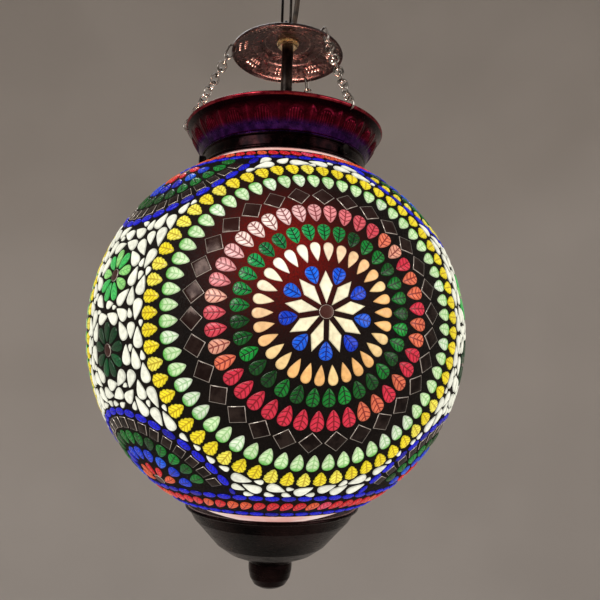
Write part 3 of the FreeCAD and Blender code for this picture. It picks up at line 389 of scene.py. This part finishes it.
def tiles_of(node):
    """The tiles of a CAD node, each as the corners of its outer face."""
    mesh = NODES[node].data
    owner = {}
    keys = [tuple(round(value, 5) for value in vertex.co) for vertex in mesh.vertices]

    def root(key):
        while owner.setdefault(key, key) != key:
            owner[key] = owner[owner[key]]
            key = owner[key]
        return key

    for face in mesh.polygons:
        first = root(keys[face.vertices[0]])
        for index in face.vertices[1:]:
            owner[root(keys[index])] = first
    groups = {}
    for key in dict.fromkeys(keys):
        groups.setdefault(root(key), []).append(Vector(key) - GLOBE)
    tiles = []
    for corners in groups.values():
        out = sum(corners, Vector()).normalized()
        tiles.append([corner for corner in corners if corner.dot(out) > OUTER_FACE])
    return tiles


def measured(corners):
    """A tile's middle, the direction from its pointed end, and half its length and width."""
    centre = sum(corners, Vector()) / len(corners)
    tip = max(corners, key=lambda corner: (corner - centre).length)
    along = (centre - tip).normalized()
    reach = [(corner - tip).dot(along) for corner in corners]
    middle = tip + along * max(reach) / 2
    across = middle.normalized().cross(along)
    return middle, along, across, max(reach) / 2, max(abs((corner - tip).dot(across)) for corner in corners)


def add_tiles(name, node, kind, shader, colour, chance):
    """All the tiles of a CAD node as one piece of domed glass tiles, each with its own colour and painted
    light.
    """
    points, faces, places, tints_with_painted_light = [], [], [], []
    rings = FLAT if kind in ("pane", "round") else DOMED
    for corners in tiles_of(node):
        middle, along, across, half_length, half_width = measured(corners)
        out = middle.normalized()
        if kind == "pane":
            flat = [((corner - middle).dot(along), (corner - middle).dot(across)) for corner in corners]
            flat.sort(key=lambda corner: math.atan2(corner[1], corner[0]))
            loop = []
            for (x0, y0), (x1, y1) in zip(flat, flat[1:] + flat[:1]):
                loop += [(x0, y0), ((x0 + x1) / 2, (y0 + y1) / 2)]
        else:
            shape = outline_of("oval" if kind == "round" else kind)
            loop = [(half_length * (2 * share - 1), half_width * offset) for share, offset in shape]
        tint_with_painted_light = colour(out, chance)
        start, count = len(points), len(loop)
        for scale, height in rings:
            for x, y in loop:
                place = middle + along * (x * scale) + across * (y * scale)
                points.append(GLOBE + place.normalized() * ((SURFACE + height) * MM))
                places.append(((x * scale / half_length + 1) / 2, y * scale / half_width, 1 - scale))
                tints_with_painted_light.append(tint_with_painted_light)
        points.append(GLOBE + out * ((SURFACE + rings[-1][1] + CROWN) * MM))
        places.append((0.5, 0.0, 1.0))
        tints_with_painted_light.append(tint_with_painted_light)
        for ring in range(len(rings) - 1):
            for index in range(count):
                a = start + ring * count + index
                b = start + ring * count + (index + 1) % count
                faces.append((a, b, b + count, a + count))
        last = start + (len(rings) - 1) * count
        faces += [(last + index, last + (index + 1) % count, last + count) for index in range(count)]
        faces.append(tuple(start + index for index in reversed(range(count))))
    piece = add_mesh(name, points, faces, shader, attributes=(
        ("place", "FLOAT_VECTOR", "vector", places), ("tint_with_painted_light", "FLOAT_COLOR", "color", tints_with_painted_light)))
    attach(piece, "globe")
    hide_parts(node)


def blended(first, second, share):
    return tuple(a + (b - a) * share for a, b in zip(first, second))


def lit(far, near, others=(), dark=0.0):
    """A colour rule with painted light: from the far colour to the near one towards the painted hot spots.
    `others` are (chance, colour) pairs that take the far colour's place; `dark` is the share of tiles that
    stay dim."""
    def colour(out, chance):
        draw, base = chance.random(), far
        for odds, other in others:
            if draw < odds:
                base = other
                break
            draw -= odds
        heat = heat_at(out)
        shade = blended(linear(*base), linear(*near), heat)
        # Painted light: brighter near the hot spots and a little brighter towards the top.
        level = chance.uniform(0.9, 1.06) * (0.94 + 0.05 * out.z + 0.2 * heat)
        if chance.random() < dark:
            level *= chance.uniform(0.25, 0.6)
        return tuple(min(1.2, value * level) for value in shade[:3]) + (1.0,)
    return colour


def latitude_of(out):
    return math.degrees(math.asin(out.z)) - PATTERN_LIFT


def red_rule(out, chance):
    """Pinks and reds in the medallions, a stronger red above and below them."""
    rings = lit((232, 48, 74), (255, 244, 236), ((0.2, (244, 120, 84)), (0.1, (250, 170, 140))))
    rows = lit((244, 44, 52), (255, 130, 110), ((0.3, (252, 104, 60)), (0.12, (246, 80, 110))))
    return (rows if abs(latitude_of(out)) > MEDALLION_REACH else rings)(out, chance)


def mirror_rule(out, chance):
    """Nearly black, and browner near the hot spots."""
    return blended(linear(14, 9, 8), linear(66, 32, 28), heat_at(out, 24.0) * chance.uniform(0.6, 1.0))


def add_mosaic():
    """One piece for each kind of tile, in place of its CAD node."""
    chance = random.Random(5)
    red = tile_glass("red_glass", 0.85, (112, 8, 20))
    green = tile_glass("green_glass", 0.9, (1, 18, 8))
    blue = tile_glass("blue_glass", 0.85, (2, 8, 96))
    pale = tile_glass("pale_green_glass", 0.5, (84, 170, 52), rim=(74, 184, 50))
    yellow = tile_glass("yellow_glass", 0.7, (150, 112, 0), strength=1.12, slope=-0.36, count=4.4)
    white = tile_glass("white_glass", strength=1.06)
    opal = tile_glass("opal_glass", strength=1.1)
    light = tile_glass("light_green_glass", 0.5, (20, 110, 70))
    dark = tile_glass("dark_green_glass", 0.5, (0, 20, 10))
    mirror = mirror_glass()
    blue_rule = lit((6, 62, 222), (24, 128, 250), ((0.35, (20, 100, 240)), (0.2, (4, 24, 200))))
    border_rule = lit((8, 22, 232), (30, 60, 250), ((0.2, (10, 14, 180)),))
    kinds = (
        ("disc_tiles", "mirror_discs", "round", mirror, "mirror_tile", lit((66, 36, 32), (120, 60, 50))),
        ("mirror_tiles", "mirror_squares", "pane", mirror, "mirror_tile", mirror_rule),
        ("petal_tiles", "cream_petals", "kite", opal, "cream_tile", lit((255, 240, 196), (255, 254, 236))),
        ("drop_tiles", "cream_drops", "drop", opal, "amber_tile",
         lit((252, 190, 116), (255, 252, 236), ((0.3, (254, 214, 146)), (0.1, (250, 226, 110))))),
        ("blue_leaf_tiles", "blue_leaves", "leaf", blue, "blue_tile", blue_rule),
        ("border_tiles", "blue_ovals", "oval", blue, "blue_tile", border_rule),
        ("green_leaf_tiles", "green_leaves", "leaf", green, "green_tile",
         lit((4, 124, 40), (20, 160, 84), ((0.25, (6, 152, 52)),), dark=0.45)),
        ("red_leaf_tiles", "red_leaves", "leaf", red, "red_tile", red_rule),
        ("pale_leaf_tiles", "pale_leaves", "leaf", pale, "pale_green_tile",
         lit((226, 252, 196), (248, 255, 242), ((0.25, (240, 254, 222)),))),
        ("yellow_leaf_tiles", "yellow_leaves", "lobed", yellow, "yellow_tile",
         lit((255, 232, 36), (255, 246, 130), ((0.3, (255, 242, 86)),))),
        ("white_tiles", "white_drops", "drop", white, "white_tile", lit((252, 252, 232), (255, 255, 248))),
        ("light_petal_tiles", "light_flower_petals", "leaf", light, "light_green_tile",
         lit((70, 206, 96), (180, 244, 190), ((0.4, (160, 236, 130)),))),
        ("dark_petal_tiles", "dark_flower_petals", "leaf", dark, "dark_green_tile",
         lit((6, 62, 32), (20, 120, 60), ((0.3, (10, 88, 46)),))))
    for name, node, kind, shader, slot, rule in kinds:
        add_tiles(name, node, kind, shader, rule, chance)


def add_grout():
    """The grout between the tiles: a shell with a slightly uneven face, thinning out at both its edges."""
    chance = random.Random(9)
    columns, bands = 300, 112
    low, high = -61.6, 62.6
    points, faces, tints_with_painted_light = [], [], []
    skins = ((148.02, 0.0, 0.0), (149.72, 0.06, 1.2))
    for radius, wobble, thinning in skins:
        for band in range(bands + 1):
            latitude = low + (high - low) * band / bands
            edge = min(latitude - low, high - latitude)
            reach = radius - thinning * max(0.0, 1 - edge / 1.2) ** 2
            for column in range(columns):
                out = spot(360.0 * column / columns, latitude)
                points.append(GLOBE + out * ((reach + wobble * chance.uniform(-1, 1)) * MM))
                # Painted glow: dull red round the hot spots, where the lamp shows through.
                tints_with_painted_light.append(blended(linear(7, 4, 3), linear(132, 12, 5), heat_at(out, 12.5)))
    size = columns * (bands + 1)
    for column in range(columns):
        beside = (column + 1) % columns
        for band in range(bands):
            a, b = band * columns + column, band * columns + beside
            faces.append((a, a + columns, b + columns, b))
            faces.append((size + a, size + b, size + b + columns, size + a + columns))
        faces.append((column, beside, size + beside, size + column))
        top = bands * columns
        faces.append((top + beside, top + column, size + top + column, size + top + beside))
    grout = add_mesh("grout_shell", points, faces, grout_material(),
                     attributes=(("tint_with_painted_light", "FLOAT_COLOR", "color", tints_with_painted_light),))
    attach(grout, "globe")
    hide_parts("grout_bed")


def smooth_line(points, step):
    """Points about `step` mm apart on a curve through the given (radius, height) points."""
    ends = [points[0]] + list(points) + [points[-1]]
    line = []
    for before, first, second, after in zip(ends, ends[1:], ends[2:], ends[3:]):
        p0, p1, p2, p3 = (Vector(point) for point in (before, first, second, after))
        parts = max(1, round((p2 - p1).length / step))
        for part in range(parts):
            t = part / parts
            line.append(0.5 * (2 * p1 + (p2 - p0) * t + (2 * p0 - 5 * p1 + 4 * p2 - p3) * t * t
                               + (3 * p1 - p0 - 3 * p2 + p3) * t**3))
    return line + [Vector(points[-1])]


def bead(radius, height, size, start, stop, steps=14):
    """Points on a rolled edge, from one angle to another in degrees."""
    angles = [math.radians(start + (stop - start) * step / steps) for step in range(steps + 1)]
    return [Vector((radius + size * math.cos(angle), height + size * math.sin(angle))) for angle in angles]


def add_turned(name, outline, segments, shader, relief):
    """Turns a closed (radius, height) outline about the lantern's axis. Relief gives the height in mm that
    the face stands out at an angle in degrees and a place on the outline."""
    count = len(outline)
    points, faces, heights, normals = [], [], [], []
    for index in range(count):
        run = outline[(index + 1) % count] - outline[index - 1]
        normals.append(Vector((run.y, -run.x)).normalized())
    for segment in range(segments):
        degrees = 360.0 * segment / segments
        turn = math.radians(degrees)
        for place, normal in zip(outline, normals):
            height = relief(degrees, place)
            raised = place + normal * height
            points.append((raised.x * math.cos(turn) * MM, raised.x * math.sin(turn) * MM,
                           GLOBE.z + raised.y * MM))
            heights.append((abs(height),))
    for segment in range(segments):
        here, there = segment * count, (segment + 1) % segments * count
        for index in range(count):
            after = (index + 1) % count
            faces.append((here + index, there + index, there + after, here + after))
    return add_mesh(name, points, faces, shader, attributes=(("relief", "FLOAT", "value", heights),))


def bump_at(value, centre, width):
    """A smooth bump of height 1 at the centre."""
    return math.exp(-((value - centre) / width) ** 2)


def collar_relief(degrees, place):
    """Pressed work on the flare's outer face: arches filled with combs, and pointed leaves between them."""
    height = (place.y - 151.5) / 14.5
    outer_face = place.x >= 70.3 + 0.63 * (place.y - 150)
    if not outer_face or not 0 < height < 1:
        return 0.0
    period = degrees / COLLAR_MOTIF % 1.0
    across = (period - 0.3) / 0.3
    fade = min(1.0, 6 * height, 6 * (1 - height))
    if abs(across) < 1:
        crown = 0.25 + 0.6 * math.sqrt(1 - across**2)
        comb = (0.5 + 0.5 * math.cos(across * math.pi * 7)) * (height < crown - 0.1)
        return 0.75 * fade * max(comb, 0.5 * bump_at(height, crown, 0.06))
    across = (period - 0.8) / 0.2
    reach = 0.85 * math.sin(math.pi * min(1.0, height * 1.05)) ** 0.7
    inside = abs(across) < reach
    return fade * inside * (0.3 + 0.4 * bump_at(across, 0, 0.14))


def add_collar():
    outer = smooth_line(((82.9, 169.8), (79.8, 165.0), (77.2, 160.0), (74.0, 154.8), (70.9, 149.9)), 0.75)
    groove = smooth_line(((70.2, 149.1), (69.7, 148.1), (68.6, 147.6), (69.5, 146.8), (69.6, 145.9),
                          (68.4, 145.2), (68.6, 144.4), (68.5, 138.0), (69.0, 136.6), (68.5, 135.2)), 0.8)
    inner = smooth_line(((66.3, 135.1), (66.2, 145.5), (67.1, 148.6), (70.2, 151.0), (73.1, 155.7),
                         (76.2, 160.8), (78.7, 165.6), (81.2, 169.9)), 2.0)
    outline = outer + groove + inner + bead(82.4, 171.0, 1.4, 205, -40)
    outline.reverse()
    collar = add_turned("embossed_collar", outline, 1080, collar_material(), collar_relief)
    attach(collar, "globe")
    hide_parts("collar")


def plateau(value, low, high, ramp=0.8):
    """1 well inside the range from low to high, 0 outside it, with a straight ramp at each end."""
    return min(1.0, max(0.0, (value - low) / ramp)) * min(1.0, max(0.0, (high - value) / ramp))


def bell_relief(degrees, place):
    """Two rows of short raised strokes in groups, and two turned rings, pressed down through the sheet."""
    if place.x < 16 or place.x > 47:
        return 0.0
    face = 1.0 if place.y > 258.4 - 0.42 * (place.x - 24) - 2.6 else -1.0
    within = degrees % BELL_MOTIF / BELL_MOTIF
    stroke = (0.5 + 0.5 * math.cos(within * 2 * math.pi * 9)) ** 2 * (within < 0.42)
    rows = plateau(place.x, 35.0, 38.6) + plateau(place.x, 39.8, 43.0)
    rings = bump_at(place.x, 20.0, 1.2) + bump_at(place.x, 30.5, 0.8)
    return face * (0.8 * stroke * rows + 0.45 * rings)


def bell_material():
    """Dark bronze with painted highlights on its raised strokes."""
    shader = Shader("bell_bronze", Metallic=1.0)
    patches = shader.span(shader.noise(60.0, 4.0), 0.35, 0.7)
    face = shader.mix(patches, linear(70, 54, 54), linear(96, 74, 72))
    # Painted highlights on the raised strokes and rings.
    stroke_highlight = shader.span(shader.attribute("relief").outputs["Fac"], 0.3, 0.8)
    shader.set("Base Color", shader.mix(stroke_highlight, face, linear(214, 188, 180)))
    shader.set("Roughness", shader.span(shader.noise(260.0, 4.0), 0.3, 0.7, 0.2, 0.36))
    shader.bump(shader.noise(200.0, 2.0), 0.02, 0.0004)
    return shader


def add_bell():
    top = smooth_line(((5.1, 258.4), (14.0, 258.1), (23.4, 257.2), (24.8, 255.4), (33.3, 252.8),
                       (42.0, 249.6), (47.2, 247.2), (48.8, 244.4)), 1.0)
    under = smooth_line(((47.9, 243.7), (46.4, 246.4), (41.6, 248.6), (33.1, 251.7), (23.8, 254.2),
                         (23.1, 255.7), (5.1, 257.4)), 0.5)
    outline = top + under
    outline.reverse()
    bell = add_turned("bell_of_copper", outline, 540, bell_material(), bell_relief)
    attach(bell, "lantern")
    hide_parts("smoke_bell")


# Stage and light
def add_stage():
    """A plain pale floor that rises into a round wall, open above."""
    shader = Shader("studio_floor", Roughness=0.9)
    tone = shader.span(shader.noise(1.5, 2.0), 0.3, 0.7)
    shader.set("Base Color", shader.mix(tone, linear(206, 200, 194), linear(214, 208, 202)))
    floor_level, wall, bend, rim = -1.3, 2.6, 0.9, 2.6
    line = [(0.02, floor_level), (wall - bend, floor_level)]
    for step in range(1, 13):
        angle = math.radians(90.0 * step / 12)
        line.append((wall - bend + bend * math.sin(angle), floor_level + bend * (1 - math.cos(angle))))
    line.append((wall, rim))
    segments = 96
    points, faces = [], []
    for segment in range(segments):
        turn = 2 * math.pi * segment / segments
        points += [(radius * math.cos(turn), radius * math.sin(turn), level) for radius, level in line]
    for segment in range(segments):
        here, there = segment * len(line), (segment + 1) % segments * len(line)
        faces += [(here + index, here + index + 1, there + index + 1, there + index)
                  for index in range(len(line) - 1)]
    faces.append(tuple(segment * len(line) for segment in range(segments)))
    add_mesh("studio_floor", points, faces, shader)


def add_light(name, place, target, size, energy, colour):
    data = bpy.data.lights.new(name, "AREA")
    data.shape, data.size, data.energy, data.color = "DISK", size, energy, colour
    light = bpy.data.objects.new(name, data)
    bpy.context.scene.collection.objects.link(light)
    light.location = place
    light.rotation_euler = (Vector(target) - Vector(place)).to_track_quat("-Z", "Y").to_euler()
    light.visible_camera = False


def add_lights():
    scene = bpy.context.scene
    scene.view_settings.view_transform = "Standard"
    world = bpy.data.worlds.new("studio_air")
    world.use_nodes = True
    world.node_tree.nodes["Background"].inputs["Color"].default_value = (0.8, 0.73, 0.67, 1.0)
    world.node_tree.nodes["Background"].inputs["Strength"].default_value = 0.25
    scene.world = world
    middle = (0, 0, -0.3)
    add_light("key_light", (-1.3, -1.4, 0.5), middle, 1.2, 17.0, (1.0, 0.95, 0.9))
    add_light("fill_light", (1.5, -1.0, -0.1), middle, 1.4, 7.0, (1.0, 0.93, 0.9))
    add_light("back_light", (-0.2, 1.5, 1.2), middle, 1.0, 10.0, (0.95, 0.97, 1.0))
    data = bpy.data.lights.new("lamp_light", "POINT")
    data.energy, data.color, data.shadow_soft_size = 5.0, (1.0, 0.85, 0.68), 0.03
    lamp = bpy.data.objects.new("lamp_light", data)
    bpy.context.scene.collection.objects.link(lamp)
    lamp.location = GLOBE + Vector((0, 0, 0.105))


add_camera()
add_cable()
finish_cad_nodes()
add_mosaic()
add_grout()
add_collar()
add_bell()
add_stage()
add_lights()

bpy.context.view_layer.update()
